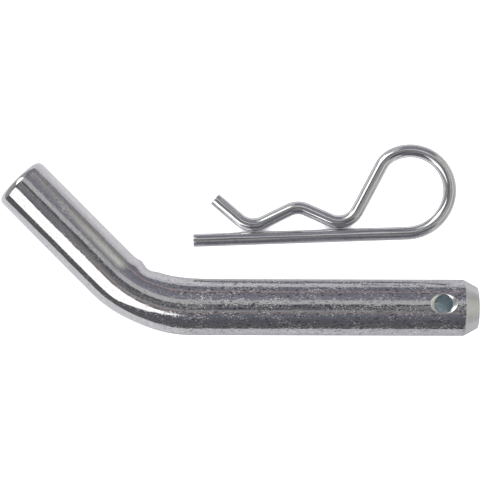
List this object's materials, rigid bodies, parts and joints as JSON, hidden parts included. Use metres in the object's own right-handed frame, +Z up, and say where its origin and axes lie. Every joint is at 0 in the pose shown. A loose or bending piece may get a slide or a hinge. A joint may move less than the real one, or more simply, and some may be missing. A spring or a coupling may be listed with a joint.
{
  "type": "bent hitch pin with clip",
  "caption": "Bent hitch pin of round zinc-plated bar, chamfered at the tip and cross-drilled for the sprung wire R-clip that lies beside it.",
  "frame": {"origin": "centre of the flat end face of the pin's tip", "axes": "+X out of the tip along the shank, +Y towards the side that the handle leans to and the clip lies on, +Z up from the bench that both pieces lie on"},
  "size_m": [0.1336, 0.0541, 0.0158],
  "materials": {
    "zinc_plated_bar": "bright zinc plate over hot-rolled bar, pitted and streaked along its length",
    "zinc_plated_wire": "bright zinc plate over smooth drawn spring wire"
  },
  "bodies": {
    "pin": {"hitch_pin": "zinc_plated_bar"},
    "clip": {"clip_leg": "zinc_plated_wire"},
    "clip_spring_arm": {"clip_arm": "zinc_plated_wire"}
  },
  "joints": [
    {"name": "clip_lift", "type": "slide", "parent": "pin", "child": "clip", "axis": [0, 0, 1], "range_m": [0, 0.04]},
    {"name": "clip_flex", "type": "hinge", "parent": "clip", "child": "clip_spring_arm", "pos_m": [-0.00745, 0.03063, -0.00606], "axis": [0, 0, -1], "range_deg": [0, 7], "stiffness_Nm_per_rad": 4}
  ]
}
